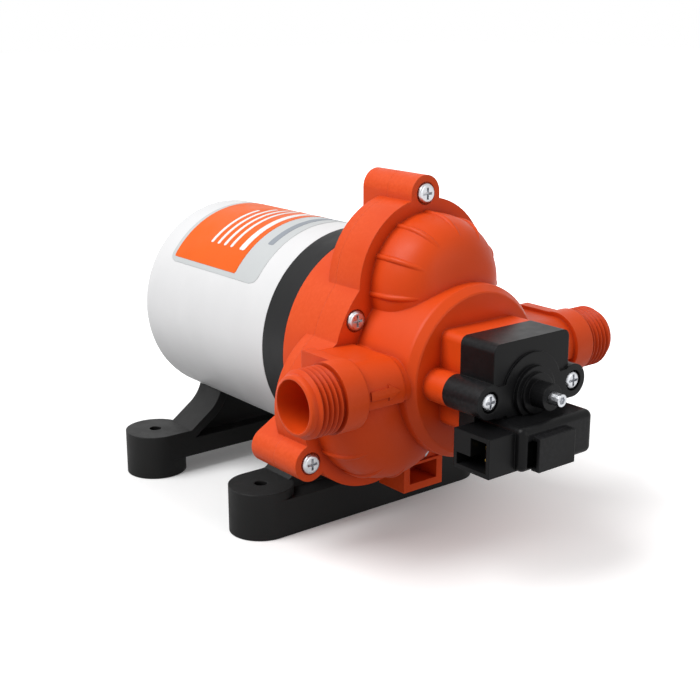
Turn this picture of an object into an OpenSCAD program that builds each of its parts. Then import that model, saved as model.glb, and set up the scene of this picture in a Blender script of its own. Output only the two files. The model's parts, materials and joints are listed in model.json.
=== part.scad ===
// Three-chamber diaphragm water pump with a permanent-magnet motor and a pressure switch.
// Z is up and the pump stands on Z = 0. The head faces -Y, and the ports lie along X.
// The origin is the centre of the four foot holes, on the base plane.

/* [Motor] */
// Outside diameter of the motor can
can_d = 75; // [72:0.5:80]
// Length of the can behind the front plate
can_len = 81; // [78:1:110]
// Sheet thickness of the can
can_wall = 1.5; // [1:0.1:2]
// Rounding of the can's closed end
can_corner = 4; // [2:0.5:5]
// Visible length of the front plate
plate_len = 12; // [11:0.5:16]
// Diameter of the motor shaft
shaft_d = 8; // [7:0.25:8.5]
// Height of the shaft above the base
axis_h = 62; // [60:0.5:75]
// Diameter of the armature
armature_d = 52.8; // [50:0.2:53.2]
// Number of slots in the armature
slots = 12; // [8:1:14]
// Diameter of the commutator
commutator_d = 18; // [16:0.5:22]

/* [Feet] */
// Distance between the left and right foot holes
foot_pitch_x = 84; // [80:1:100]
// How far the rear holes lie ahead of the can's rear edge
rear_inset = 13.55; // [12:0.05:18]
// How far the front holes lie ahead of the can's front edge
foot_lead = 4.15; // [3:0.05:4.3]
// Diameter of a foot pad and depth of the foot
pad_d = 22.5; // [20:0.5:22.5]
// Height of a foot pad
pad_h = 16.4; // [14:0.2:18]
// Diameter of a foot hole
foot_hole_d = 4.5; // [4:0.1:6]
// Height of the arch under the rear foot
arch_h = 6.4; // [5:0.1:8]

/* [Head] */
// Diameter of the round drum behind the lobes
drum_d = 75; // [72:0.5:76]
// Distance of a lobe's centre from the shaft
lobe_offset = 25.5; // [25:0.1:25.8]
// Radius of a lobe
lobe_r = 27; // [26.5:0.1:28.5]
// Distance from the front plate to the back of the lobes
lobe_start = 11.2; // [10.6:0.1:11.4]
// Distance from the front plate to the back of the lobe screws' bosses
boss_start = 2.7; // [2.4:0.1:3.4]
// Length of the drive housing
drive_len = 15; // [14.8:0.1:17]
// Length of the head from the joint to the flange face
flange_len = 12; // [11.8:0.1:14]
// Height of the front disc over the flange face
bell_len = 25.8; // [25.6:0.1:30]
// Radius of the front disc
disc_r = 25.7; // [24.8:0.1:27]
// Radius of a dome at the flange face
dome_r = 22.5; // [21:0.1:22.8]
// Height of a dome
dome_h = 20; // [16:0.2:21]
// Ribs on each dome
dome_ribs = 7; // [5:1:8]

/* [Ports] */
// Distance from mouth to mouth
port_span = 129.8; // [124:0.2:136]
// Distance of the port axis from the flange face
port_rise = 16.3; // [16.1:0.1:17]
// Major diameter of the half-inch pipe thread
thread_d = 20.96; // [20.4:0.02:21.4]
// Pitch of the thread
thread_pitch = 1.814; // [1.5:0.002:2]
// Number of thread ridges
thread_turns = 5; // [4:1:5]
// Diameter of the waterway at the mouth
port_bore_d = 16; // [14:0.1:16.4]

/* [Fasteners] */
// Distance of a lobe screw from the shaft
tip_screw_r = 53.8; // [53.4:0.1:56]
// Distance of a valley screw from the shaft
valley_screw_r = 33; // [32.6:0.1:33.4]
// Radius of a lobe screw's boss
boss_r = 5.9; // [5.5:0.1:6.5]
// Shank diameter of the head screws
screw_d = 4; // [3.5:0.1:4.2]

/* [Drive] */
// Tilt of the wobble plate
wobble_angle = 3; // [2:0.1:3.4]
// Thickness of the diaphragm
diaphragm_t = 1.6; // [1.2:0.1:1.8]
// Radius of a pumping chamber
chamber_r = 16; // [15:0.1:16.4]
// Radius of a piston
piston_r = 9.5; // [8.5:0.1:9.7]

/* [Pressure switch] */
// Height of the orange pedestal on the front disc
pedestal_len = 8.6; // [8:0.1:11]
// Depth of the switch housing
switch_len = 14.1; // [13.6:0.1:17]
// Half width of the switch housing
switch_half_w = 16; // [15:0.1:16.4]
// Top of the switch housing above the shaft
switch_top = 16.8; // [16:0.1:17.4]
// Distance of a switch screw from the middle
ear_x = 17.9; // [17.6:0.1:18.6]
// Radius of an ear
ear_r = 5.3; // [5:0.1:5.6]
// Diameter of the adjusting screw
adjuster_d = 4; // [3.4:0.1:4.4]
// Travel of the plunger
plunger_travel = 0.9; // [0.5:0.1:1.1]

/* [Hidden] */

// Resolution of round faces
$fn = 96;
// Small overlap that makes two parts of one piece a single solid
fuse = 0.4;
// Running clearance of a shaft, screw or slider in its hole
running = 0.03;
// Clearance of a piece that is dropped into its seat
seat = 0.05;
// Space round the balls of a bearing
ball_play = 0.3;
// How far a cut runs past the face that it opens
past = 1;

lobe_angles = [90, 210, 330];
valley_angles = [30, 150, 270];

can_r = can_d / 2;
can_inner_r = can_r - can_wall;
drum_r = drum_d / 2;
shaft_r = shaft_d / 2;
screw_r = screw_d / 2;

// Stations along the shaft, counted forward from the can's front edge
split_z = plate_len + drive_len;
flange_z = split_z + flange_len;
disc_z = flange_z + bell_len;
switch_z = disc_z + pedestal_len;
face_z = switch_z + switch_len;
port_z = flange_z + port_rise;
lobe_back_z = plate_len + lobe_start;
boss_back_z = plate_len + boss_start;
foot_pitch_y = can_len + foot_lead - rear_inset;
motor_front_y = foot_lead - foot_pitch_y / 2;

// Front plate
spigot_len = 5;
spigot_inner_r = 26.6;
front_spigot_r = 20;
front_spigot_len = 1.2;

// Rear bush in the pocket of the can
rear_boss_len = 4;
rear_boss_r = 11;
bush_r = 8;
bush_len = 9;
pocket_wall = 2;
bush_z = -can_len - rear_boss_len + can_wall;

// Magnets, core, winding and commutator
magnet_span = 110;
magnet_inner_r = armature_d / 2 + 0.8;
core_front_z = -24;
core_back_z = -can_len + 19;
magnet_over = 3;
slot_r = 2.9;
slot_ring_r = armature_d / 2 - 5.4;
slot_mouth = 1.6;
winding_end_len = 7;
commutator_z = [-15.5, -3];
commutator_slit = 0.5;

// Brushes
brush_gap = 0.1;
brush_z = -9.2;
brush_size = [10, 5, 6];
holder_wall = 0.6;
holder_reach = spigot_inner_r - commutator_d / 2 - 1.2;
card_z = [-4.6, -2.1];
brush_spring_r = 1.9;
brush_spring_wire = 0.5;
brush_spring_turns = 5;

// Through bolts
bolt_clearance = 1.6;
bolt_angles = [62, 242];
bolt_r = 2;
bolt_ring_r = armature_d / 2 + bolt_clearance + bolt_r;
bolt_head = [3.4, 2.6];
bolt_reach = 8;

// Bearings: bore, outside diameter and width
front_bearing = [shaft_d, 22, 7];
wobble_bearing = [12, 28, 8];
front_bearing_z = plate_len - 1 - front_bearing[2];

// Wobble drive
pivot_z = split_z + diaphragm_t / 2;
hub_front_gap = 1.6;
hub_back_gap = 1.2;
wobble_bearing_z = split_z - 2.2 - wobble_bearing[2];
sleeve_wall = 3;
arm_t = 3.4;
pad_t = 1;
arm_w = 15;
arm_root = 0.8;
piston_t = 1.8;
disc_margin = 0.3;
piston_head_r = 2.8;
piston_head_t = 1.3;
piston_screw_r = 1.5;
piston_screw_len = 7.4;
piston_slot = [3.6, 0.6, 0.9];

// Drive housing
floor_t = 3;
drum_wall = 1.6;
recess_depth = 2;
cavity_r = 17.5;
cavity_mid_r = 24;
housing_screw_r = 29;
housing_screw_head = [3.4, 2];

// Valve stack
valve_plate_t = 6.6;
chamber_h = 4.9;
gasket_t = 1.2;
rim_r = 22.5;
rim_mid_r = 23.8;
valve_z = split_z + diaphragm_t;
gasket_z = valve_z + valve_plate_t;
ledge_z = gasket_z + gasket_t;
inlet_flap = [6.5, 0.8];
inlet_shift = 3;
inlet_hole_ring = 4.2;
inlet_hole_r = 1.1;
inlet_holes = 6;
stem_r = 1.5;
stem_bead = 0.7;
bead_t = 0.6;
stem_past = 1.2;
bead_recess = 2;
outlet_flap = [14.5, 1];
outlet_hole_ring = 11.6;
outlet_hole_r = 1.1;
outlet_hole_spread = 13;

// Inside of the head
tube_wall = 2.2;
tube_inner_r = 15.6;
head_wall = 2.6;
crown_wall = 4.2;
gallery_lobe_r = dome_r - head_wall;
bell_root_r = 29.2;
rim_steps = [[2.5, 3.4], [2.3, 2.6], [0.8, 0.7], [0.5, 0.3]];

// Ports
collar_r = thread_d / 2;
collar_start = 45.3;
collar_step = 0.5;
collar_gap = 0.6;
nose_len = 2.2;
lip = [0.3, 1];
thread_depth = 1.16;
crest_land = 0.25;
bore_floor = 0.5;
passage_r = 3.4;
passage_up = 1.6;
block_r = 9.4;
block_low = -3.4;
block_end = 30.2;
neck_r = 8.4;
web_half_h = 10.6;
web_end = 49.5;
arrow_proud = 0.5;
arrow_place = 38;
arrow_turn = 6;
arrow_shape = [[-5.5, -1.4], [1.4, -1.4], [1.4, -2.5], [5.7, 0], [1.4, 2.5], [1.4, 1.4], [-5.5, 1.4]];

// Screws of the head and the switch
pan_head = [3.3, 1.6];
cross = [0.8, 3.8, 1.2];
head_recess = [3.7, 0.6];
head_screw_len = 21;
switch_head = [2.9, 2];
switch_recess = [3.3, 1.8];
switch_screw_r = 1.5;
switch_screw_len = 20;
head_screw_z = flange_z - head_recess[1];

// Clip bracket under the head
bracket_half_w = 8.6;
bracket_bottom = -46.5;
bracket_wall = 2.6;
bracket_front = 1.1;
bracket_len = 11.9;
bracket_top = -36.4;
bracket_pocket = 11;

// Pressure switch
switch_bottom = -13.5;
shelf = -6.3;
shelf_depth = 6.6;
corner_r = 2.6;
switch_seal = [9.5, 1.2];
orifice_r = 1.6;
seal_pocket = [7, 1.4];
plunger_r = 7.2;
plunger_t = 2.4;
plunger_gap = 0.3;
plunger_cavity_r = 8;
plunger_stem_r = 2.6;
plunger_stem_len = 5.4;
spring_mean_r = 4.1;
spring_wire = 0.45;
spring_turns = 5;
seat_r = 4.9;
seat_t = 2;
seat_travel = 1;
roof_t = 4;
seat_z = face_z - 1.8;
plateau = [12.3, 0.8];
plateau_top = 4.2;
switch_screw_z = face_z + plateau[1] - switch_recess[1];
conn_corner_r = 2.2;
hub_ring = [8.2, 2.2];
hub_step = [6.4, 3.2];
boss_end = [4.1, 8.6];
adjuster_proud = 3.9;
adjuster_socket = [1.2, 1];
adjuster_inset = 0.05;
arm_half_w = 1.6;
arm_low = -11.6;
arm_play = 0.5;
button_r = 1;
button_y = -10.4;
micro_size = [12.8, 6.4, 7];

// Connector under the switch
conn_x = [-14.5, 16.4];
conn_y = [-20.2, shelf - seat];
conn_front = 11;
conn_wall = 1.6;
conn_front_wall = 4.2;
socket_x = -25;
socket_y = [-20.1, -8];
socket_z = [0.8, 15.5];
socket_wall = 1.3;
socket_back = 0.6;
keyway = 6.4;
keyway_h = 5;
block_x = [-10, 5.4];
block_y = [-19.9, -9.4];
block_proud = 2.6;
block_wall = 1.1;
block_slot = [2.2, 2];
blade = [0.8, 2.6];
blade_gap = 4;
blade_low = 3.2;
blade_depth = 10.6;
blade_inset = 4.6;
blade_inner_x = -6.6;

// Feet
bar_top = 13.2;
ramp_inset = 9.3;
ramp_run = 8.5;
ramp_r = 14;
ramp_low = 36;
ramp_high = 74;
ramp_t = 3.5;
ramp_depth = 14.7;
web_half_t = 5.2;
foot_screw_x = 6;
foot_screw_r = 2;
foot_head = [3.6, 2.4];
foot_head_z = 12.4;
foot_screw_bite = 3;

// Label
label_t = 0.15;
label_half_angle = 59;
label_z = [-68.2, -11.8];

function shifted(v, d) = [v[0] + d, v[1] + d];
function arc(c, r, a0, a1, n) =
    [for (i = [0 : n]) c + r * [cos(a0 + (a1 - a0) * i / n), sin(a0 + (a1 - a0) * i / n)]];

// Places children in the pump's own frame: x to the right, y up, z forward along the shaft
module pump_frame() {
    translate([0, motor_front_y, axis_h]) rotate([90, 0, 0]) children();
}

// Tilts children about the point where the wobble plate pivots
module tilted() {
    translate([0, 0, pivot_z]) rotate([wobble_angle, 0, 0]) translate([0, 0, -pivot_z]) children();
}

module at_polar(r, angles) {
    for (a = angles) translate([r * cos(a), r * sin(a), 0]) children();
}

// A round bar from z0 to z1
module rod(r, z0, z1) {
    translate([0, 0, z0]) cylinder(r = r, h = z1 - z0);
}

module tube(r_out, r_in, z0, z1) {
    difference() {
        rod(r_out, z0, z1);
        rod(r_in, z0 - past, z1 + past);
    }
}

// A flat slab from z0 to z1 with the 2D shape of its children
module slab(z0, z1) {
    translate([0, 0, z0]) linear_extrude(z1 - z0) children();
}

module box(x, y, z) {
    translate([x[0], y[0], z[0]]) cube([x[1] - x[0], y[1] - y[0], z[1] - z[0]]);
}

module rounded(x, y, r) {
    translate([x[0] + r, y[0]]) square([x[1] - x[0] - 2 * r, y[1] - y[0]]);
    translate([x[0], y[0] + r]) square([x[1] - x[0], y[1] - y[0] - 2 * r]);
    for (px = [x[0] + r, x[1] - r], py = [y[0] + r, y[1] - r]) translate([px, py]) circle(r);
}

module trefoil(r, mid_r) {
    at_polar(lobe_offset, lobe_angles) circle(r);
    circle(mid_r);
}

// Pan-head screw with a cross recess; the head stands on z = 0 and the shank runs back
module pan_screw(shank_r, length, head) {
    difference() {
        union() {
            rotate_extrude() polygon(concat(
                [[0, 0], [head[0], 0], [head[0], head[1] * 0.35]],
                arc([head[0] - head[1] * 0.65, head[1] * 0.35], head[1] * 0.65, 10, 90, 5),
                [[0, head[1]]]));
            rod(shank_r, -length, fuse);
        }
        for (a = [0, 90]) rotate(a)
            box([-cross[0] / 2, cross[0] / 2], [-cross[1] / 2, cross[1] / 2],
                [head[1] - cross[2], head[1] + past]);
    }
}

// Unbroken round spring along z
module coil(mean_r, wire_r, turns, length) {
    sides = 5;
    per_turn = 14;
    rings = turns * per_turn;
    last = rings * sides;
    rise = (length - 2 * wire_r) / rings;
    points = [for (i = [0 : rings], k = [0 : sides - 1])
        let (a = i * 360 / per_turn, b = k * 360 / sides, r = mean_r + wire_r * cos(b))
        [r * cos(a), r * sin(a), wire_r + i * rise + wire_r * sin(b)]];
    sheet = [for (i = [0 : rings - 1], k = [0 : sides - 1])
        let (n = (k + 1) % sides, p = i * sides)
        each [[p + k, p + sides + n, p + n], [p + k, p + sides + k, p + sides + n]]];
    start = [for (k = [1 : sides - 2]) [0, k, k + 1]];
    finish = [for (k = [1 : sides - 2]) [last, last + k + 1, last + k]];
    polyhedron(points, concat(sheet, start, finish));
}

// Ball bearing pieces; b holds bore, outside diameter and width
function pitch_r(b) = (b[0] + b[1]) / 4;
function ball_r(b) = (b[1] - b[0]) * 0.142;
module race_groove(b) {
    translate([0, 0, b[2] / 2]) rotate_extrude()
        translate([pitch_r(b), 0]) circle(ball_r(b) + ball_play, $fn = 48);
}
module inner_race(b) {
    difference() {
        tube(pitch_r(b) - ball_r(b) * 0.55, b[0] / 2, 0, b[2]);
        race_groove(b);
    }
}
module outer_race(b) {
    difference() {
        tube(b[1] / 2, pitch_r(b) + ball_r(b) * 0.55, 0, b[2]);
        race_groove(b);
    }
}
module ball_set(b) {
    count = floor(360 * pitch_r(b) * PI / 180 / (2.6 * ball_r(b)));
    for (i = [0 : count - 1]) rotate(i * 360 / count)
        translate([pitch_r(b), 0, b[2] / 2]) sphere(ball_r(b), $fn = 32);
}

// Motor
module motor_can() {
    flat_r = can_r - can_corner;
    inner_corner = can_corner - can_wall;
    outside = concat([[0, -can_len]], arc([flat_r, can_corner - can_len], can_corner, -90, 0, 6),
        [[can_r, 0], [0, 0]]);
    inside = concat([[0, can_wall - can_len]],
        arc([flat_r, can_corner - can_len], inner_corner, -90, 0, 6),
        [[can_inner_r, past], [0, past]]);
    color("white") pump_frame() difference() {
        union() {
            difference() {
                rotate_extrude() polygon(outside);
                rotate_extrude() polygon(inside);
            }
            rod(rear_boss_r, -can_len - rear_boss_len, -can_len + fuse);
            rod(bush_r + pocket_wall, -can_len, bush_z + bush_len);
        }
        rod(bush_r + seat, bush_z, bush_z + bush_len + past);
        at_polar(bolt_ring_r, bolt_angles) rod(bolt_r + seat, -can_len - past, -can_len + can_wall + past);
        foot_screw_holes(foot_screw_r + seat, rear_foot_z());
    }
}

module label() {
    color("darkorange") pump_frame() translate([0, 0, label_z[0]])
        rotate(90 - label_half_angle) rotate_extrude(angle = 2 * label_half_angle)
            translate([can_r + 2 * seat, 0]) square([label_t, label_z[1] - label_z[0]]);
}

module motor_front_plate() {
    color("dimgray") pump_frame() difference() {
        union() {
            rod(can_r, 0, plate_len);
            rod(can_inner_r - seat, -spigot_len, fuse);
            rod(front_spigot_r - seat, plate_len - fuse, plate_len + front_spigot_len);
        }
        rod(spigot_inner_r, -spigot_len - past, 0);
        rod(front_bearing[1] / 2 + seat, front_bearing_z, plate_len + front_spigot_len + past);
        rod(shaft_r + past, -past, plate_len);
        at_polar(bolt_ring_r, bolt_angles) rod(bolt_r + running, -spigot_len - past, bolt_reach + seat);
        at_polar(housing_screw_r, lobe_angles)
            rod(screw_r + running, plate_len - bolt_reach - seat, plate_len + past);
        foot_screw_holes(foot_screw_r + running, front_foot_z());
    }
}

module rear_bush() {
    color("peru") pump_frame() tube(bush_r, shaft_r + running, bush_z + seat, bush_z + bush_len);
}

module field_magnets() {
    color("slategray") pump_frame()
        translate([0, 0, core_back_z - magnet_over])
            for (a = [0, 180]) rotate(a - magnet_span / 2) rotate_extrude(angle = magnet_span)
                translate([magnet_inner_r, 0]) square([can_inner_r - seat - magnet_inner_r,
                    core_front_z - core_back_z + 2 * magnet_over]);
}

module through_bolts() {
    color("silver") pump_frame() at_polar(bolt_ring_r, bolt_angles)
        translate([0, 0, -can_len]) mirror([0, 0, 1])
            pan_screw(bolt_r, can_len + bolt_reach, bolt_head);
}

module brush_card() {
    color("saddlebrown") pump_frame()
        tube(spigot_inner_r - seat, commutator_d / 2 + 2, card_z[0], card_z[1]);
}

// Children lie along +x from the commutator's face outward, at the height of the brushes
module at_brushes() {
    for (a = [0, 180]) rotate(a) translate([commutator_d / 2 + brush_gap, 0, brush_z]) children();
}

module brush_holders() {
    w = brush_size[1] / 2 + holder_wall;
    h = brush_size[2] / 2 + holder_wall;
    color("goldenrod") pump_frame() at_brushes() difference() {
        box([2, holder_reach], [-w, w], [-h, card_z[0] - brush_z]);
        box([2 - past, holder_reach - holder_wall], [-w, w] + [1, -1] * (holder_wall - seat),
            [-h, h] + [1, -1] * (holder_wall - seat));
    }
}

module brushes() {
    color("black") pump_frame() at_brushes() difference() {
        box([0, brush_size[0]], [-1, 1] * brush_size[1] / 2, [-1, 1] * brush_size[2] / 2);
        translate([-commutator_d / 2 - brush_gap, 0, 0])
            rod(commutator_d / 2 + brush_gap, -brush_size[2], brush_size[2]);
    }
}

module brush_springs() {
    start = brush_size[0] + seat;
    finish = holder_reach - holder_wall - 2 * seat;
    color("silver") pump_frame() at_brushes() translate([start, 0, 0]) rotate([0, 90, 0])
        coil(brush_spring_r, brush_spring_wire / 2, brush_spring_turns, finish - start);
}

module front_bearing_outer() {
    color("silver") pump_frame() translate([0, 0, front_bearing_z]) outer_race(front_bearing);
}
module front_bearing_balls() {
    color("lightgray") pump_frame() translate([0, 0, front_bearing_z]) ball_set(front_bearing);
}
module front_bearing_inner() {
    color("silver") pump_frame() translate([0, 0, front_bearing_z]) inner_race(front_bearing);
}

// Rotor
module motor_shaft() {
    color("silver") pump_frame() rod(shaft_r - 0.01, bush_z + 2 * seat, split_z - hub_front_gap);
}

module armature_core() {
    color("gray") pump_frame() difference() {
        tube(armature_d / 2, shaft_r, core_back_z, core_front_z);
        for (i = [0 : slots - 1]) rotate(i * 360 / slots) {
            translate([slot_ring_r, 0, 0]) rod(slot_r, core_back_z - past, core_front_z + past);
            box([slot_ring_r, armature_d], [-1, 1] * slot_mouth / 2,
                [core_back_z - past, core_front_z + past]);
        }
    }
}

module armature_winding() {
    end_r = [slot_ring_r - slot_r - 2, slot_ring_r + slot_r];
    color("chocolate") pump_frame() {
        for (i = [0 : slots - 1]) rotate(i * 360 / slots) translate([slot_ring_r, 0, 0])
            rod(slot_r - seat, core_back_z - fuse, core_front_z + fuse);
        for (z = [core_back_z - seat - winding_end_len, core_front_z + seat])
            tube(end_r[1], end_r[0], z, z + winding_end_len);
    }
}

module commutator() {
    color("peru") pump_frame() difference() {
        tube(commutator_d / 2, shaft_r, commutator_z[0], commutator_z[1]);
        for (i = [0 : slots - 1]) rotate(i * 360 / slots)
            box([commutator_d / 2 - 1, commutator_d], [-1, 1] * commutator_slit / 2,
                [commutator_z[0] - past, commutator_z[1] + past]);
    }
}

module eccentric_hub() {
    color("silver") pump_frame() difference() {
        tilted() {
            rod(wobble_bearing[0] / 2 - 0.01, wobble_bearing_z - fuse, wobble_bearing_z + wobble_bearing[2]);
            rod(wobble_bearing[0] / 2 + 2, plate_len + hub_back_gap, wobble_bearing_z);
        }
        rod(shaft_r, 0, split_z);
    }
}

module wobble_bearing_inner() {
    color("silver") pump_frame() tilted() translate([0, 0, wobble_bearing_z]) inner_race(wobble_bearing);
}
module wobble_bearing_balls() {
    color("lightgray") pump_frame() tilted() translate([0, 0, wobble_bearing_z]) ball_set(wobble_bearing);
}
module wobble_bearing_outer() {
    color("silver") pump_frame() tilted() translate([0, 0, wobble_bearing_z]) outer_race(wobble_bearing);
}

// Wobble plate and pistons
module wobble_plate() {
    sleeve_r = wobble_bearing[1] / 2 + sleeve_wall;
    arm_z = split_z - pad_t - arm_t;
    arm_start = wobble_bearing[1] / 2 + arm_root;
    color("gainsboro") pump_frame() tilted() difference() {
        union() {
            rod(sleeve_r, wobble_bearing_z, split_z - pad_t);
            slab(arm_z, split_z - pad_t) {
                for (a = lobe_angles) rotate(a) translate([arm_start, -arm_w / 2])
                    square([lobe_offset - arm_start, arm_w]);
                at_polar(lobe_offset, lobe_angles) circle(piston_r);
            }
            at_polar(lobe_offset, lobe_angles) rod(piston_r, split_z - pad_t - fuse, split_z - seat / 2);
        }
        rod(wobble_bearing[1] / 2, wobble_bearing_z - past, wobble_bearing_z + wobble_bearing[2]);
        rod(wobble_bearing[1] / 2 - 2, wobble_bearing_z, split_z + past);
        at_polar(lobe_offset, lobe_angles) rod(piston_screw_r + seat / 2, arm_z - past, split_z + past);
    }
}

module pistons() {
    z = valve_z + seat / 2;
    color("white") pump_frame() tilted() at_polar(lobe_offset, lobe_angles) difference() {
        rod(piston_r, z, z + piston_t);
        rod(piston_screw_r + seat, z - past, z + piston_t + past);
        rod(piston_head_r + seat, z + piston_t - piston_head_t, z + piston_t + past);
    }
}

module piston_screws() {
    z = valve_z + seat / 2 + piston_t - piston_head_t;
    color("silver") pump_frame() tilted() at_polar(lobe_offset, lobe_angles) difference() {
        union() {
            rod(piston_head_r, z, z + piston_head_t - seat);
            rod(piston_screw_r, z - piston_screw_len, z + fuse);
        }
        box([-1, 1] * piston_slot[0] / 2, [-1, 1] * piston_slot[1] / 2,
            [z + piston_head_t - piston_slot[2], z + piston_head_t + past]);
    }
}

// Housings and valves
module boss_outline() {
    at_polar(tip_screw_r, lobe_angles) circle(boss_r);
    for (a = lobe_angles) rotate(a)
        translate([lobe_offset, -boss_r]) square([tip_screw_r - lobe_offset, 2 * boss_r]);
}

module head_outline() {
    circle(drum_r);
    at_polar(lobe_offset, lobe_angles) circle(lobe_r);
    boss_outline();
}

module head_screw_places() {
    at_polar(tip_screw_r, lobe_angles) children();
    at_polar(valley_screw_r, valley_angles) children();
}

module drive_housing() {
    color("orangered") pump_frame() difference() {
        union() {
            rod(drum_r, plate_len, split_z);
            slab(lobe_back_z, split_z) head_outline();
            slab(boss_back_z, split_z) boss_outline();
        }
        slab(split_z - recess_depth, split_z + past) trefoil(cavity_r, cavity_mid_r);
        slab(plate_len + floor_t, split_z) intersection() {
            trefoil(cavity_r, cavity_mid_r);
            circle(drum_r - drum_wall);
        }
        at_polar(housing_screw_r, lobe_angles)
            rod(housing_screw_head[0] + 2 * seat, plate_len + floor_t, split_z);
        rod(front_spigot_r, plate_len - past, split_z);
        at_polar(housing_screw_r, lobe_angles) rod(screw_r + seat, plate_len - past, split_z);
        head_screw_places() rod(screw_r + running, head_screw_z - head_screw_len - seat, split_z + past);
    }
}

module housing_screws() {
    color("silver") pump_frame() at_polar(housing_screw_r, lobe_angles)
        translate([0, 0, plate_len + floor_t]) pan_screw(screw_r, floor_t + bolt_reach, housing_screw_head);
}

// A cone of rubber between the flat rim and the disc of one piston
module convolution(a) {
    half = diaphragm_t / 2;
    lift = lobe_offset * sin(a) * sin(wobble_angle);
    inner = piston_r + disc_margin;
    root = half + inner * sin(wobble_angle);
    translate([lobe_offset * cos(a), lobe_offset * sin(a), pivot_z]) rotate_extrude()
        polygon([[inner, lift - root], [chamber_r + fuse, -half],
            [chamber_r + fuse, half], [inner, lift + root]]);
}

module diaphragm() {
    color("darkslategray") pump_frame() difference() {
        union() {
            difference() {
                slab(split_z, valve_z) trefoil(rim_r - seat, rim_mid_r - seat);
                at_polar(lobe_offset, lobe_angles) rod(chamber_r, split_z - past, valve_z + past);
            }
            tilted() at_polar(lobe_offset, lobe_angles)
                rod(piston_r + disc_margin + fuse, split_z, valve_z);
            for (a = lobe_angles) convolution(a);
        }
        tilted() at_polar(lobe_offset, lobe_angles)
            rod(piston_screw_r + seat, split_z - past, valve_z + past);
    }
}

module valve_plate() {
    color("gray") pump_frame() difference() {
        slab(valve_z, gasket_z) trefoil(rim_r - seat, rim_mid_r - seat);
        at_polar(lobe_offset, lobe_angles) rod(chamber_r, valve_z - past, valve_z + chamber_h);
        at_polar(lobe_offset + inlet_shift, lobe_angles) {
            rod(stem_r + seat, valve_z, gasket_z + past);
            for (i = [0 : inlet_holes - 1]) rotate(i * 360 / inlet_holes)
                translate([inlet_hole_ring, 0, 0]) rod(inlet_hole_r, valve_z, gasket_z + past);
        }
        for (a = lobe_angles, s = [-1, 0, 1]) rotate(a + s * outlet_hole_spread)
            translate([outlet_hole_ring, 0, 0]) rod(outlet_hole_r, valve_z, gasket_z + past);
        rod(stem_r + seat, valve_z - past, gasket_z + past);
        rod(stem_r + stem_bead + seat, valve_z - past, valve_z + bead_recess);
    }
}

// A rubber flap with its stem; the flap hangs below z = 0 and the stem runs up
module flap_valve(flap, plate_t) {
    rod(flap[0], -flap[1], 0);
    rod(stem_r, -fuse, plate_t + stem_past);
    rod(stem_r + stem_bead, plate_t + seat, plate_t + stem_past + bead_t);
}

module inlet_valves() {
    color("black") pump_frame() at_polar(lobe_offset + inlet_shift, lobe_angles)
        translate([0, 0, valve_z + chamber_h - seat])
            flap_valve(inlet_flap, valve_plate_t - chamber_h + seat);
}

module outlet_valve() {
    color("black") pump_frame() translate([0, 0, gasket_z + seat]) mirror([0, 0, 1])
        flap_valve(outlet_flap, valve_plate_t + seat - bead_recess);
}

module valve_gasket() {
    web = 2.4;
    color("black") pump_frame() slab(gasket_z, ledge_z) {
        difference() {
            trefoil(rim_r - seat, rim_mid_r - seat);
            trefoil(rim_r - web, tube_inner_r + tube_wall);
        }
        difference() {
            circle(tube_inner_r + tube_wall);
            circle(tube_inner_r);
        }
        for (a = valley_angles) rotate(a)
            translate([tube_inner_r + tube_wall - fuse, -web / 2])
                square([rim_mid_r - tube_inner_r - tube_wall, web]);
    }
}

dome_steps = 28;
dome_power = 0.72;
function dome_curve(r, h) = [for (i = [0 : dome_steps])
    [r * pow(cos(90 * i / dome_steps), dome_power), h * pow(sin(90 * i / dome_steps), dome_power)]];

module dome(r, h) {
    rotate_extrude() polygon(concat([[0, 0]], dome_curve(r, h)));
}

// Ribs that climb a dome from its edge and fade out near its top
rib_r = 1.0;
rib_sink = 0.4;
rib_side_r = 90;
rib_side_share = 0.32;
rib_bend_share = 0.6;
rib_step = 31;

// A round bar that runs up a dome's side and then bends tighter than the dome, so that it dives under it
module rib() {
    lean = asin(rib_side_share * dome_h / rib_side_r);
    bend_r = rib_bend_share * dome_h;
    base_x = dome_r - rib_sink - rib_side_r;
    rotate([90, 0, 0]) {
        translate([base_x, 0]) rotate_extrude(angle = lean) translate([rib_side_r, 0]) circle(rib_r);
        translate([base_x, 0] + (rib_side_r - bend_r) * [cos(lean), sin(lean)])
            rotate(lean) rotate_extrude(angle = 90 - lean) translate([bend_r, 0]) circle(rib_r);
    }
}

module rib_set() {
    for (i = [0 : dome_ribs - 1]) rotate((i - (dome_ribs - 1) / 2) * rib_step) rib();
}

module bell() {
    rotate_extrude() polygon(concat([[0, flange_z - fuse], [bell_root_r, flange_z - fuse]],
        [for (s = rim_steps) [disc_r + s[0], disc_z - s[1]]], [[disc_r, disc_z], [0, disc_z]]));
}

// Places children on a port's axis, with z running out of the mouth
module on_port(side) {
    translate([0, 0, port_z]) rotate([0, side * 90, 0]) children();
}

thread_start = port_span / 2 - nose_len - thread_turns * thread_pitch;
function thread_profile() = [for (i = [0 : thread_turns - 1])
    let (z = thread_start + i * thread_pitch)
    each [[collar_r - thread_depth, z], [collar_r, z + (thread_pitch - crest_land) / 2],
        [collar_r, z + (thread_pitch + crest_land) / 2]]];

module port_outside(side) {
    mouth = port_span / 2;
    core_r = collar_r - thread_depth;
    on_port(side) {
        rod(collar_r + collar_step, collar_start, thread_start - collar_gap);
        rod(core_r, collar_start, mouth - nose_len + fuse);
        rotate_extrude() polygon(concat([[0, thread_start]], thread_profile(),
            [[core_r, mouth - nose_len], [core_r, mouth - lip[1]], [core_r - lip[0], mouth - lip[0]],
             [core_r - lip[1], mouth], [0, mouth]]));
    }
}

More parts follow.
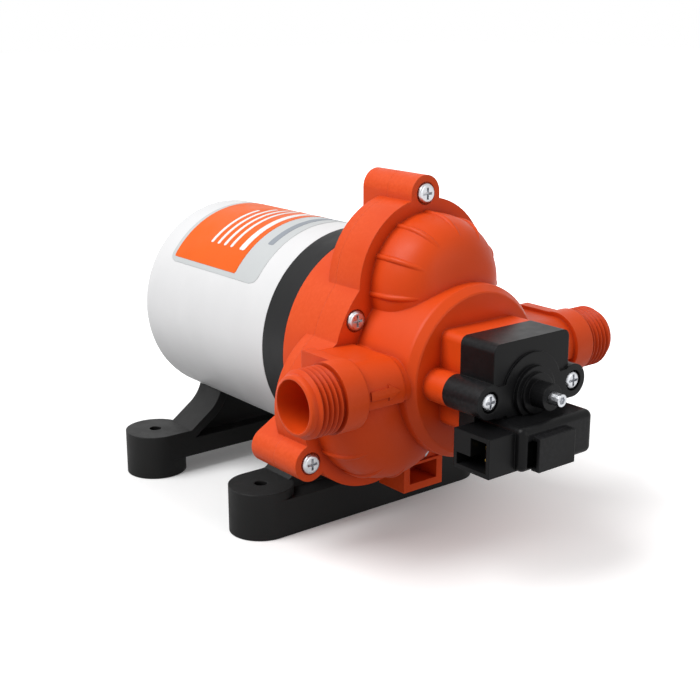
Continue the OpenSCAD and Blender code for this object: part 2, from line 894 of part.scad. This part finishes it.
// A flat web stands behind each collar, and a lower block with a flat underside joins it to the bell
module port_web(side) {
    x = [0, collar_start + fuse];
    z = [flange_z - fuse, port_z];
    mirror([side < 0 ? 1 : 0, 0, 0]) {
        box([collar_start, web_end], [-1, 1] * web_half_h, z);
        box(x, [block_low, neck_r], z);
        box([block_end, x[1]], [block_low, block_r], z);
        intersection() {
            on_port(1) {
                rod(neck_r, 0, block_end + fuse);
                rod(block_r, block_end, collar_start + fuse);
            }
            box(x, [block_low, block_r + past], [port_z - fuse, port_z + block_r + past]);
        }
    }
}

// Raised flow arrow on the inlet, pointing into the pump
module flow_arrow() {
    intersection() {
        translate([-arrow_place, 0, port_z]) rotate([-arrow_turn, 0, 0])
            linear_extrude(2 * block_r) polygon(arrow_shape);
        on_port(-1) rod(block_r + arrow_proud, 0, collar_start);
    }
}

module switch_outline(low) {
    rounded([-switch_half_w, switch_half_w], [low, switch_top], corner_r);
    for (x = [-ear_x, ear_x]) translate([x, 0]) circle(ear_r);
}

// The raised area round the adjusting screw, which takes in both ears
module plateau_outline() {
    circle(plateau[0]);
    for (x = [-ear_x, ear_x]) translate([x, 0]) circle(ear_r);
    translate([-ear_x, -ear_r]) square([2 * ear_x, ear_r + plateau_top]);
}

module bracket() {
    z = [flange_z - bracket_len, flange_z + bracket_front];
    difference() {
        box([-bracket_half_w, bracket_half_w], [bracket_bottom, bracket_top], z);
        box([-1, 1] * (bracket_half_w - bracket_wall), [bracket_bottom + bracket_wall, bracket_top - past],
            [z[1] - bracket_pocket, z[1] + past]);
    }
}

module head_cavities() {
    slab(split_z - past, ledge_z) trefoil(rim_r, rim_mid_r);
    difference() {
        union() {
            at_polar(lobe_offset, lobe_angles) {
                rod(gallery_lobe_r - fuse, ledge_z - fuse, flange_z + fuse);
                translate([0, 0, flange_z]) dome(gallery_lobe_r, dome_h - head_wall);
            }
            rod(disc_r - head_wall, ledge_z - fuse, disc_z - crown_wall);
        }
        rod(tube_inner_r + tube_wall, 0, disc_z);
        on_port(1) translate([0, passage_up, 0]) rod(passage_r + head_wall, 0, disc_r + head_wall);
    }
    rod(tube_inner_r, ledge_z - fuse, disc_z - crown_wall);
}

module pump_head() {
    mouth = port_span / 2;
    color("orangered") pump_frame() difference() {
        union() {
            slab(split_z, flange_z) head_outline();
            bell();
            at_polar(lobe_offset, lobe_angles) translate([0, 0, flange_z - fuse]) dome(dome_r, dome_h + fuse);
            for (a = lobe_angles) rotate(a) translate([lobe_offset, 0, flange_z - fuse]) rib_set();
            for (side = [-1, 1]) {
                port_outside(side);
                port_web(side);
            }
            flow_arrow();
            slab(disc_z - fuse, switch_z) switch_outline(switch_bottom);
            bracket();
        }
        head_cavities();
        on_port(-1) translate([0, passage_up, 0])
            rod(passage_r, tube_inner_r + tube_wall + past, mouth);
        on_port(1) translate([0, passage_up, 0]) rod(passage_r, 0, mouth);
        for (side = [-1, 1]) on_port(side)
            rod(port_bore_d / 2, collar_start + bore_floor, mouth + past);
        rod(orifice_r, disc_z - crown_wall - past, switch_z);
        rod(switch_seal[0] + seat, switch_z - switch_seal[1], switch_z + past);
        rod(seal_pocket[0], switch_z - switch_seal[1] - seal_pocket[1], switch_z);
        head_screw_places() {
            rod(screw_r + seat, split_z - past, flange_z + past);
            rod(head_recess[0], head_screw_z, flange_z + past);
        }
        for (x = [-ear_x, ear_x]) translate([x, 0, 0])
            rod(switch_screw_r + running, switch_screw_z - switch_screw_len - seat, switch_z + past);
    }
}

module head_screws() {
    color("silver") pump_frame() head_screw_places()
        translate([0, 0, head_screw_z]) pan_screw(screw_r, head_screw_len, pan_head);
}

// Pressure switch
module switch_diaphragm() {
    color("black") pump_frame()
        rod(switch_seal[0], switch_z - switch_seal[1] + seat / 2, switch_z - seat / 2);
}

plunger_z = switch_z + plunger_gap;
plunger_top = plunger_z + plunger_t;
micro_z = switch_z + shelf_depth + seat;
button_in = 1.2;
module switch_plunger() {
    color("ivory") pump_frame() {
        rod(plunger_r, plunger_z, plunger_top);
        rod(plunger_stem_r, plunger_z, plunger_top + plunger_stem_len);
        box([-1, 1] * arm_half_w, [arm_low, 0], [plunger_z, plunger_top]);
    }
}

module switch_spring() {
    start = plunger_top + seat;
    color("silver") pump_frame() translate([0, 0, start])
        coil(spring_mean_r, spring_wire, spring_turns, seat_z - seat - start);
}

module spring_seat() {
    color("silver") pump_frame() rod(seat_r, seat_z, seat_z + seat_t);
}

module adjusting_screw() {
    front = face_z + boss_end[1];
    color("silver") pump_frame() difference() {
        union() {
            rod(adjuster_d / 2 - running, seat_z + seat_t + seat, front - fuse);
            translate([0, 0, front - 2 * fuse])
                cylinder(r = adjuster_d / 2 - adjuster_inset, h = adjuster_proud + 2 * fuse, $fn = 12);
        }
        translate([0, 0, front + adjuster_proud - adjuster_socket[1]])
            cylinder(r = adjuster_socket[0], h = adjuster_socket[1] + past, $fn = 6);
    }
}

module switch_housing() {
    color("dimgray") pump_frame() difference() {
        union() {
            slab(switch_z, switch_z + shelf_depth) switch_outline(switch_bottom);
            slab(switch_z + shelf_depth - fuse, face_z) switch_outline(shelf);
            slab(face_z - fuse, face_z + plateau[1]) plateau_outline();
            rod(hub_ring[0], face_z, face_z + hub_ring[1]);
            rod(hub_step[0], face_z, face_z + hub_step[1]);
            rod(boss_end[0], face_z, face_z + boss_end[1]);
        }
        rod(plunger_cavity_r, switch_z - past, face_z - roof_t);
        rod(seat_r + running, switch_z, seat_z + seat_t + seat_travel + seat);
        rod(adjuster_d / 2 + running, face_z - past, face_z + boss_end[1] + past);
        box([-1, 1] * (arm_half_w + arm_play), [arm_low - arm_play, 0],
            [switch_z - past, plunger_top + plunger_travel + arm_play]);
        translate([0, button_y, 0]) rod(button_r + running, switch_z, micro_z);
        for (x = [-ear_x, ear_x]) translate([x, 0, 0]) {
            rod(switch_screw_r + seat, switch_z - past, face_z + past);
            rod(switch_recess[0], switch_screw_z, face_z + past);
        }
        box([-1, 1] * (plateau[0] + past), [-plateau[0] - past, shelf],
            [face_z - fuse, face_z + boss_end[1]]);
    }
}

module switch_screws() {
    color("silver") pump_frame() for (x = [-ear_x, ear_x]) translate([x, 0, switch_screw_z])
        pan_screw(switch_screw_r, switch_screw_len, switch_head);
}

module microswitch() {
    top = conn_y[1] - conn_wall - seat;
    color("black") pump_frame() difference() {
        box([-1, 1] * micro_size[0] / 2, [top - micro_size[1], top], [micro_z, micro_z + micro_size[2]]);
        translate([0, button_y, 0])
            rod(button_r + running, micro_z - past, micro_z + button_in + plunger_travel + seat);
    }
}

module microswitch_button() {
    color("red") pump_frame() translate([0, button_y, 0])
        rod(button_r, plunger_top + seat, micro_z + button_in);
}

// A box with its side edges and the rim of its front face rounded
module eased_box(x, y, z0, z1, r) {
    inner_x = x + [r, -r];
    inner_y = y + [r, -r];
    slab(z0, z1 - r) rounded(x, y, r);
    box(inner_x, inner_y, [z1 - r - fuse, z1]);
    translate([0, 0, z1 - r]) {
        for (py = inner_y) translate([0, py, 0]) rotate([0, 90, 0]) rod(r, inner_x[0], inner_x[1]);
        for (px = inner_x) translate([px, 0, 0]) rotate([-90, 0, 0]) rod(r, inner_y[0], inner_y[1]);
        for (px = inner_x, py = inner_y) translate([px, py, 0]) sphere(r);
    }
}

module connector_housing() {
    z0 = switch_z + shelf_depth;
    z1 = face_z + conn_front;
    inside_y = conn_y + [1, -1] * conn_wall;
    color("dimgray") pump_frame() difference() {
        union() {
            eased_box(conn_x, conn_y, z0, z1, conn_corner_r);
            box([socket_x, conn_x[0] + 2], socket_y, shifted(socket_z, z0));
            box(block_x, block_y, [z1 - fuse, z1 + block_proud]);
        }
        box(conn_x + [1, -1] * conn_wall, inside_y, [z0 - past, z1 - conn_front_wall]);
        box([socket_x - past, conn_x[0] - socket_back], socket_y + [2, -1] * socket_wall,
            shifted([-keyway, 0], z0 + socket_z[1] - socket_wall));
        box([socket_x - past, conn_x[0] - socket_back], shifted([socket_wall, keyway_h], socket_y[0]),
            shifted(socket_z + [1, -1] * socket_wall, z0));
        box([block_x[0] - block_slot[0], block_x[1] - block_wall], block_y + [1, -1] * block_wall,
            [z1 - block_slot[1], z1 + block_proud - block_wall]);
        blade_places() box(shifted([-socket_back - past, conn_wall + past], conn_x[0]),
            [-1, 1] * (blade[0] / 2 + seat), [-1, 1] * (blade[1] / 2 + seat));
    }
}

// Height and depth of the two blades in the socket
module blade_places() {
    for (s = [0, 1])
        translate([0, socket_y[0] + blade_low + s * blade_gap, switch_z + shelf_depth + blade_depth])
            children();
}

module terminals() {
    color("goldenrod") pump_frame() blade_places()
        box([socket_x + blade_inset, blade_inner_x], [-1, 1] * blade[0] / 2, [-1, 1] * blade[1] / 2);
}

// Feet
function front_foot_z() = foot_lead;
function rear_foot_z() = foot_lead - foot_pitch_y;

// Vertical holes for the screws that hold a foot, in the pump's frame
module foot_screw_holes(r, z) {
    for (x = [-foot_screw_x, foot_screw_x]) translate([x, 0, z]) rotate([90, 0, 0])
        rod(r, can_inner_r - 2 * foot_screw_bite, can_r + past);
}

// The area below the two ramps, moved inward by t and starting at height low; a ramp is straight, then curved
module below_ramps(t, low) {
    start = foot_pitch_x / 2 - ramp_inset;
    bend = [start - ramp_run, pad_h + ramp_run * tan(ramp_low)];
    centre = bend + ramp_r * [sin(ramp_low), cos(ramp_low)];
    side = arc(centre, ramp_r + t, -90 - ramp_low, -90 - ramp_high, 10);
    toe = side[0] + [1 / tan(ramp_low), -1] * (side[0][1] - low);
    last = side[len(side) - 1];
    for (m = [0, 1]) mirror([m, 0])
        polygon(concat([[-fuse, low], toe], side, [[last[0], axis_h], [-fuse, axis_h]]));
}

// Extrudes a front view between two distances from the foot's middle
module front_view(y) {
    translate([0, y[1], 0]) rotate([90, 0, 0]) linear_extrude(y[1] - y[0]) children();
}

// The ramps lie along the side of a foot that faces the other foot, which is +y here
module foot(under) {
    half = pad_d / 2;
    difference() {
        union() {
            for (x = [-1, 1] * foot_pitch_x / 2) translate([x, 0, 0]) rod(half, 0, pad_h);
            box([-1, 1] * foot_pitch_x / 2, [-half, half], [under, bar_top]);
            box([-1, 1] * foot_pitch_x / 2, [half - ramp_depth, half], [under, pad_h]);
            front_view([half - ramp_depth, half]) below_ramps(0, pad_h - fuse);
        }
        front_view([web_half_t, half + past]) below_ramps(ramp_t, bar_top);
        translate([0, half + past, axis_h]) rotate([90, 0, 0]) rod(can_r + seat, 0, pad_d + 2 * past);
        for (x = [-1, 1] * foot_pitch_x / 2) translate([x, 0, 0]) rod(foot_hole_d / 2, -past, pad_h + past);
        for (x = [-foot_screw_x, foot_screw_x]) translate([x, 0, 0]) {
            rod(foot_screw_r + seat, 0, axis_h);
            rod(foot_head[0] + seat, -past, foot_head_z);
        }
    }
}

module front_foot() {
    color("dimgray") translate([0, -foot_pitch_y / 2, 0]) foot(0);
}

module rear_foot() {
    color("dimgray") translate([0, foot_pitch_y / 2, 0]) mirror([0, 1, 0]) foot(arch_h);
}

module foot_screws() {
    length = axis_h - can_inner_r + foot_screw_bite - foot_head_z;
    color("silver") for (x = [-foot_screw_x, foot_screw_x], y = [-1, 1] * foot_pitch_y / 2)
        translate([x, y, foot_head_z]) mirror([0, 0, 1]) pan_screw(foot_screw_r, length, foot_head);
}

motor_can();
label();
motor_front_plate();
rear_bush();
field_magnets();
through_bolts();
brush_card();
brush_holders();
brushes();
brush_springs();
front_bearing_outer();
front_bearing_balls();
front_bearing_inner();
motor_shaft();
armature_core();
armature_winding();
commutator();
eccentric_hub();
wobble_bearing_inner();
wobble_bearing_balls();
wobble_bearing_outer();
wobble_plate();
pistons();
piston_screws();
drive_housing();
housing_screws();
diaphragm();
valve_plate();
inlet_valves();
outlet_valve();
valve_gasket();
pump_head();
head_screws();
switch_diaphragm();
switch_plunger();
switch_spring();
spring_seat();
adjusting_screw();
switch_housing();
switch_screws();
microswitch();
microswitch_button();
connector_housing();
terminals();
front_foot();
rear_foot();
foot_screws();
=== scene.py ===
import json
import math

import bpy
from mathutils import Matrix, Vector


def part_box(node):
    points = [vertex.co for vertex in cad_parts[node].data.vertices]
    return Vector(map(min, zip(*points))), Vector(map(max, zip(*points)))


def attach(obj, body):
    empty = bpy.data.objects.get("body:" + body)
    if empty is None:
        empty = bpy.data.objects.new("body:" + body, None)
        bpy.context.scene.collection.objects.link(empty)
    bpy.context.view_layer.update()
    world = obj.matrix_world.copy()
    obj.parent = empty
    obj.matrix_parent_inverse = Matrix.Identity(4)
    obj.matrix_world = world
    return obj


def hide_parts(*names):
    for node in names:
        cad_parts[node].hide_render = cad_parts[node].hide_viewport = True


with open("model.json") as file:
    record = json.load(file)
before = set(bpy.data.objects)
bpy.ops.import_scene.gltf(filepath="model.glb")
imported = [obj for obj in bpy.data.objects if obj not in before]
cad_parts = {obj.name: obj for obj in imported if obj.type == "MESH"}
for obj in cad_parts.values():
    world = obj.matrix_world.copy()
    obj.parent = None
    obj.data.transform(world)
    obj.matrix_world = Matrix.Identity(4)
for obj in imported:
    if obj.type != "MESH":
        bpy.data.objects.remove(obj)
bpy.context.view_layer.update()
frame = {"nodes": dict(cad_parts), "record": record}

nodes = frame["nodes"]

# The pump's own frame: x to the right, y up from the shaft, z forward from the can's front edge
can_low, can_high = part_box("motor_can")
FRONT_Y = can_low[1]
AXIS_H = (can_low[2] + can_high[2]) / 2
MM = 1000

# Surface detail and painted shade in creases: scales of noise are per metre, depths and radii in metres,
# bands and shares from 0 to 1
FLOW_SCALE, FLOW_STRETCH, FLOW_BAND = 38, (1, 1, 0.6), (0.35, 0.68)
POLISH_SCALE, POLISH_BAND, SMOOTHER, ROUGHER = 160, (0.3, 0.7), 0.05, 0.07
GRAIN_SCALE, GRAIN_STRENGTH, MATT_GRAIN = 2600, 0.35, 0.00005
WORN_BAND = (0.54, 0.64)
PATCH_SCALE, PATCHES = 900, {"low": 0.2, "high": 0.6, "start": 0.4, "stop": 0.65}
# Painted shade in creases: how far ambient occlusion looks, the band of its values that darkens, how much it
# darkens and its samples
PAINTED_SHADE_REACH, PAINTED_SHADE_BAND, PAINTED_SHADE_SHARE, PAINTED_SHADE_SAMPLES = 0.004, (0.4, 0.95), 0.8, 8
SPECK_SCALE, SPECK_BAND = 420, (0.3, 0.7)
METAL_POLISH_SCALE, METAL_SMOOTHER, METAL_ROUGHER = 900, 0.06, 0.1
METAL_GRAIN_SCALE, METAL_GRAIN_STRENGTH, METAL_GRAIN, METAL_EDGE = 3000, 0.2, 0.00002, 0.0002
BEVEL_SAMPLES = 6


def pump(x, up, forward):
    """A point of the pump's own frame, in millimetres, as a point of the row frame in metres."""
    return Vector((x / MM, FRONT_Y - forward / MM, AXIS_H + up / MM))


def linear(r, g, b):
    """A colour from 0-255 sRGB values."""
    def one(c):
        c = c / 255
        return c / 12.92 if c <= 0.04045 else ((c + 0.055) / 1.055) ** 2.4
    return (one(r), one(g), one(b), 1)


WHITE = (1, 1, 1, 1)


class Shader:
    """A material whose nodes are made and linked by short calls."""

    def __init__(self, name):
        self.material = bpy.data.materials.new(name)
        self.material.use_nodes = True
        self.tree = self.material.node_tree
        self.bsdf = self.tree.nodes["Principled BSDF"]
        self.coordinates = self.tree.nodes.new("ShaderNodeTexCoord")

    def node(self, kind, **values):
        """A shader node; each value goes to the property or else to the input of that name."""
        made = self.tree.nodes.new("ShaderNode" + kind)
        for key, value in values.items():
            if key in made.bl_rna.properties:
                setattr(made, key, value)
            else:
                made.inputs[key.replace("_", " ")].default_value = value
        return made

    def link(self, a, b):
        self.tree.links.new(a, b)

    def put(self, socket, value):
        """Links a socket to another one, or sets it to a constant."""
        if isinstance(value, bpy.types.NodeSocket):
            self.link(value, socket)
        else:
            socket.default_value = value

    def noise(self, scale, detail, stretch=(1, 1, 1)):
        mapping = self.node("Mapping")
        mapping.inputs["Scale"].default_value = stretch
        self.link(self.coordinates.outputs["Object"], mapping.inputs["Vector"])
        noise = self.node("TexNoise", Scale=scale, Detail=detail, Roughness=0.5)
        self.link(mapping.outputs["Vector"], noise.inputs["Vector"])
        return noise.outputs["Fac"]

    def ramp(self, source, band, dark, light):
        """A colour that goes from dark to light over a band of the source's values."""
        ramp = self.node("ValToRGB")
        for element, at, colour in zip(ramp.color_ramp.elements, band, (dark, light)):
            element.position = at
            element.color = colour
        self.link(source, ramp.inputs["Fac"])
        return ramp.outputs["Color"]

    def scalar(self, source, low, high, start=0.0, stop=1.0):
        """The source's values from start to stop, spread from low to high."""
        span = self.node("MapRange")
        for key, value in (("From Min", start), ("From Max", stop), ("To Min", low), ("To Max", high)):
            span.inputs[key].default_value = value
        self.link(source, span.inputs["Value"])
        return span.outputs["Result"]

    def math(self, operation, a, b):
        node = self.node("Math", operation=operation)
        self.link(a, node.inputs[0])
        self.link(b, node.inputs[1])
        return node.outputs[0]

    def mix(self, factor, a, b):
        mix = self.node("Mix", data_type="RGBA")
        for socket, value in ((mix.inputs[0], factor), (mix.inputs[6], a), (mix.inputs[7], b)):
            self.put(socket, value)
        return mix.outputs[2]

    def grained(self, scale, strength, depth, edge):
        """A normal with fine grain of some depth, over edges that look rounded to a radius."""
        bump = self.node("Bump", Strength=strength, Distance=depth)
        self.link(self.noise(scale, 2), bump.inputs["Height"])
        self.link(self.node("Bevel", samples=BEVEL_SAMPLES, Radius=edge).outputs["Normal"],
                  bump.inputs["Normal"])
        return bump.outputs["Normal"]

    def set(self, **values):
        for key, value in values.items():
            self.put(self.bsdf.inputs[key.replace("_", " ")], value)


def plastic(name, dark, light, rough, grain=0.00003, edge=0.0004, gloss=0.45, worn=None, painted_crease_shade=None):
    """Moulded plastic or paint: slow colour flow, fine grain, paler outer edges, and painted shade that
    darkens the base colour in creases.
    """
    s = Shader(name)
    colour = s.ramp(s.noise(FLOW_SCALE, 4, FLOW_STRETCH), FLOW_BAND, dark, light)
    if worn is not None:
        rim = s.node("NewGeometry").outputs["Pointiness"]
        broken = s.math("MULTIPLY", s.scalar(rim, 0, 1, *WORN_BAND),
                        s.scalar(s.noise(PATCH_SCALE, 4), **PATCHES))
        colour = s.mix(broken, colour, worn)
    # Painted shade: the base colour darkens towards the crease colour where ambient occlusion finds faces
    # close by
    if painted_crease_shade is not None:
        open_sky = s.node("AmbientOcclusion", samples=PAINTED_SHADE_SAMPLES, Distance=PAINTED_SHADE_REACH).outputs["AO"]
        colour = s.mix(s.scalar(open_sky, PAINTED_SHADE_SHARE, 0, *PAINTED_SHADE_BAND), colour, painted_crease_shade)
    s.set(Base_Color=colour,
          Roughness=s.scalar(s.noise(POLISH_SCALE, 4), rough - SMOOTHER, rough + ROUGHER, *POLISH_BAND),
          Normal=s.grained(GRAIN_SCALE, GRAIN_STRENGTH, grain, edge), Specular_IOR_Level=gloss)
    return s.material


def matt(name, dark, light, rough, edge=0.0002, gloss=0.3):
    """Rubber, card or unpainted plastic, with a deeper grain and sharper edges."""
    return plastic(name, dark, light, rough, MATT_GRAIN, edge, gloss)


def metal(name, colour, rough, speck=0.15):
    """Metal with darker specks and uneven polish."""
    s = Shader(name)
    dark = (*(c * (1 - speck) for c in colour[:3]), 1)
    s.set(Base_Color=s.ramp(s.noise(SPECK_SCALE, 5), SPECK_BAND, dark, colour), Metallic=1.0,
          Roughness=s.scalar(s.noise(METAL_POLISH_SCALE, 3), rough - METAL_SMOOTHER,
                             rough + METAL_ROUGHER, *POLISH_BAND),
          Normal=s.grained(METAL_GRAIN_SCALE, METAL_GRAIN_STRENGTH, METAL_GRAIN, METAL_EDGE))
    return s.material


# The orange's darkest colour is painted shade, laid into its creases and hollows
orange = plastic("orange_plastic", linear(219, 72, 17), linear(224, 75, 20), 0.42, gloss=0.2,
                 worn=linear(233, 90, 38), painted_crease_shade=linear(168, 44, 8))
black = plastic("black_plastic", linear(17, 17, 18), linear(21, 21, 22), 0.33, gloss=0.12,
                worn=linear(40, 40, 42))
white_paint = plastic("white_paint", linear(226, 226, 227), linear(232, 232, 233), 0.34, 0.00001, 0.0006, 0.4)
black_paint = plastic("black_paint", linear(22, 22, 23), linear(28, 28, 29), 0.4, 0.00003, 0.0005, 0.16)
rubber = matt("foot_rubber", linear(20, 20, 20), linear(25, 25, 25), 0.5, 0.0006, 0.25)
label_paper = matt("label_paper", linear(198, 201, 202), linear(204, 207, 208), 0.42, gloss=0.14)
label_orange = matt("label_orange", linear(232, 98, 26), linear(240, 103, 30), 0.4, gloss=0.12)
label_print = matt("label_print", linear(236, 236, 235), linear(242, 242, 241), 0.45, gloss=0.14)
label_grey = matt("label_grey", linear(146, 152, 160), linear(154, 160, 168), 0.45, gloss=0.14)
seal = matt("seal_rubber", linear(22, 22, 22), linear(30, 30, 30), 0.6)
natural = matt("natural_plastic", linear(226, 224, 214), linear(236, 234, 226), 0.45)
grey = matt("grey_plastic", linear(96, 98, 102), linear(108, 110, 114), 0.45)
card = matt("card_laminate", linear(112, 70, 38), linear(126, 82, 46), 0.6)
zinc = metal("zinc_steel", linear(206, 208, 212), 0.3)
bright = metal("bearing_steel", linear(214, 216, 220), 0.14, 0.05)
brass = metal("brass", linear(214, 178, 92), 0.28)
bronze = metal("sintered_bronze", linear(176, 128, 80), 0.5, 0.3)
copper = metal("copper_wire", linear(196, 112, 64), 0.3, 0.2)
iron = metal("laminated_steel", linear(112, 112, 116), 0.5, 0.25)
ferrite = matt("ferrite", linear(54, 54, 58), linear(66, 66, 70), 0.75)
carbon = matt("carbon", linear(30, 30, 31), linear(40, 40, 41), 0.6)

BY_SLOT = {
    "white_can": white_paint, "black_plastic": black, "black_metal": black_paint, "orange_plastic": orange,
    "zinc_steel": zinc, "bearing_steel": bright, "bronze": bronze, "ferrite": ferrite, "lamination": iron,
    "copper": copper, "carbon": carbon, "card": card, "brass": brass, "rubber": seal,
    "black_rubber": rubber, "white_plastic": natural, "grey_plastic": grey, "label": label_paper,
}
for part in frame["record"]["subparts"]:
    data = nodes[part["node"]].data
    data.materials.clear()
    data.materials.append(BY_SLOT[part["material_slot"]])


# The label: a pale sheet with an orange field, both bent round the can; lengths are in millimetres
CAN_R = can_high[0] * MM
SHEET = 0.06
SHEET_GAP = 0.02
COLUMNS = 96
label_low, label_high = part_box("label")
LABEL_SPAN = tuple((FRONT_Y - y) * MM for y in (label_high[1], label_low[1]))
LABEL_HALF_ANGLE = math.degrees(math.asin(label_high[0] / (label_high[2] - AXIS_H)))
LABEL_CORNER = 3.5

# The field's edge: degrees in from the label's sides, and room behind and before it
FIELD_SIDE, FIELD_REAR, FIELD_FRONT = 3, 2.1, 13.5
FIELD_HALF_ANGLE = LABEL_HALF_ANGLE - FIELD_SIDE
FIELD_SPAN = (LABEL_SPAN[0] + FIELD_REAR, LABEL_SPAN[1] - FIELD_FRONT)
FIELD_CORNER = 0.4

# Plain bars in place of print: one grey bar before the field, and white ones on it, which start at
# one angle; each white bar is given by the angle where it ends, its middle and its width
BAND_HALF_ANGLE = 34
BAND_SPAN = (-19.6, -16.4)
BAR_START = -42
BARS = ((30, -29.9, 3.2), (8, -36.6, 1.6), (16, -40.8, 1.6), (2, -45, 1.6), (-6, -49.2, 1.6))
BAR_CORNER = 0.5


def wrapped(name, angles, span, corner, layer, material):
    """A thin sheet on the can, between two angles from the top and two distances forward."""
    inner = CAN_R + SHEET_GAP + layer * SHEET
    middle, half = sum(angles) / 2, (angles[1] - angles[0]) / 2
    length = math.radians(half) * inner
    points = []
    for i in range(COLUMNS + 1):
        turn = -half + 2 * half * i / COLUMNS
        over = max(0.0, abs(math.radians(turn)) * inner - (length - corner))
        inset = corner - math.sqrt(max(0.0, corner ** 2 - over ** 2))
        a = math.radians(middle + turn)
        for radius in (inner, inner + SHEET):
            for forward in (span[0] + inset, span[1] - inset):
                points.append(pump(radius * math.sin(a), radius * math.cos(a), forward))
    faces = [(0, 1, 3, 2)]
    for i in range(COLUMNS):
        k = 4 * i
        for a, b in ((0, 1), (1, 3), (3, 2), (2, 0)):
            faces.append((k + a, k + 4 + a, k + 4 + b, k + b))
    last = 4 * COLUMNS
    faces.append((last, last + 2, last + 3, last + 1))
    mesh = bpy.data.meshes.new(name)
    mesh.from_pydata(points, [], faces)
    mesh.materials.append(material)
    made = bpy.data.objects.new(name, mesh)
    bpy.context.scene.collection.objects.link(made)
    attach(made, "pump_body")
    return made


sheet = wrapped("label_sheet", (-LABEL_HALF_ANGLE, LABEL_HALF_ANGLE), LABEL_SPAN, LABEL_CORNER, 0,
                label_paper)
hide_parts("label")
wrapped("label_field", (-FIELD_HALF_ANGLE, FIELD_HALF_ANGLE), FIELD_SPAN, FIELD_CORNER, 1, label_orange)
wrapped("label_band", (-BAND_HALF_ANGLE, BAND_HALF_ANGLE), BAND_SPAN, BAR_CORNER, 1, label_grey)
for i, (stop, middle, width) in enumerate(BARS):
    wrapped(f"label_bar_{i + 1}", (BAR_START, stop), (middle - width / 2, middle + width / 2),
            BAR_CORNER, 2, label_print)


# The floor's glow grows from a little near the pump to full at a distance, in metres
FLOOR_NEAR, FLOOR_FAR = 0.05, 0.25
FLOOR_GLOW = 0.1
FLOOR_SEEN = (0.9, 0.9, 0.9, 1)
FLOOR_UNSEEN = (0.36, 0.36, 0.36, 1)
FLOOR_SIZE = 8
FLOOR_DROP = 0.0002
AMBIENT = 0.36


def floor_material():
    """White to the camera, with a true shadow; a darker grey to the light that it throws back."""
    s = Shader("floor")
    path = s.node("LightPath")
    seen = s.math("MAXIMUM", path.outputs["Is Camera Ray"],
                  s.math("MAXIMUM", path.outputs["Is Glossy Ray"], path.outputs["Is Transmission Ray"]))
    length = s.node("VectorMath", operation="LENGTH")
    s.link(s.coordinates.outputs["Object"], length.inputs[0])
    glow = s.scalar(length.outputs["Value"], FLOOR_GLOW, 1.0, FLOOR_NEAR, FLOOR_FAR)
    s.set(Base_Color=s.mix(path.outputs["Is Camera Ray"], FLOOR_UNSEEN, FLOOR_SEEN), Roughness=0.9,
          Specular_IOR_Level=0.0, Emission_Color=WHITE, Emission_Strength=s.math("MULTIPLY", seen, glow))
    return s.material


bpy.ops.mesh.primitive_plane_add(size=FLOOR_SIZE, location=(0, 0, -FLOOR_DROP))
floor = bpy.context.object
floor.name = "floor"
floor.data.materials.append(floor_material())


# The world is white to the camera and to mirror rays, and dimmer to all others
world = bpy.data.worlds.new("studio")
bpy.context.scene.world = world
world.use_nodes = True
tree = world.node_tree
tree.nodes.clear()


def world_node(kind, **values):
    """A node of the world's tree, with inputs that are set by name."""
    made = tree.nodes.new("ShaderNode" + kind)
    for key, value in values.items():
        made.inputs[key].default_value = value
    return made


output = world_node("OutputWorld")
ambient = world_node("Background", Color=WHITE, Strength=AMBIENT)
shown = world_node("Background", Color=WHITE)
blend = world_node("MixShader")
path = world_node("LightPath")
mirrored, seen = world_node("Math"), world_node("Math")
mirrored.operation = seen.operation = "MAXIMUM"
for source, target in ((path.outputs["Is Glossy Ray"], mirrored.inputs[0]),
                       (path.outputs["Is Transmission Ray"], mirrored.inputs[1]),
                       (path.outputs["Is Camera Ray"], seen.inputs[0]),
                       (mirrored.outputs[0], seen.inputs[1]),
                       (seen.outputs[0], blend.inputs[0]),
                       (ambient.outputs[0], blend.inputs[1]),
                       (shown.outputs[0], blend.inputs[2]),
                       (blend.outputs[0], output.inputs["Surface"])):
    tree.links.new(source, target)


def lamp(name, place, target, size, power):
    """A round lamp at a place, turned towards a target; metres and watts."""
    data = bpy.data.lights.new(name, "AREA")
    data.shape = "DISK"
    data.size = size
    data.energy = power
    made = bpy.data.objects.new(name, data)
    bpy.context.scene.collection.objects.link(made)
    made.location = place
    made.rotation_mode = "QUATERNION"
    made.rotation_quaternion = (Vector(target) - Vector(place)).to_track_quat("-Z", "Y")


lamp("key", (-0.7, 0.15, 1.05), (0, -0.03, 0.05), 0.9, 13.4)
lamp("fill", (0.15, -1.0, 0.35), (0, -0.05, 0.06), 0.8, 1.9)

# The camera that the photo's view was fitted with; its focal length is in pixels of the photo
SENSOR = 36
PHOTO_WIDTH = 700
FOCAL = 1217.925
CAMERA_PLACE = (-0.259855, -0.357976, 0.173697)
AZIMUTH, ELEVATION = math.radians(-38.5535), math.radians(15.8445)
NEAREST, FARTHEST = 0.01, 20

camera_data = bpy.data.cameras.new("camera")
camera_data.sensor_width = SENSOR
camera_data.lens = SENSOR * FOCAL / PHOTO_WIDTH
camera_data.clip_start = NEAREST
camera_data.clip_end = FARTHEST
camera = bpy.data.objects.new("camera", camera_data)
bpy.context.scene.collection.objects.link(camera)
back = Vector((math.sin(AZIMUTH) * math.cos(ELEVATION), -math.cos(AZIMUTH) * math.cos(ELEVATION),
               math.sin(ELEVATION)))
right = Vector((math.cos(AZIMUTH), math.sin(AZIMUTH), 0))
turn = Matrix((right, back.cross(right), back)).transposed()
camera.matrix_world = Matrix.Translation(CAMERA_PLACE) @ turn.to_4x4()
bpy.context.scene.camera = camera
bpy.context.scene.view_settings.view_transform = "Standard"
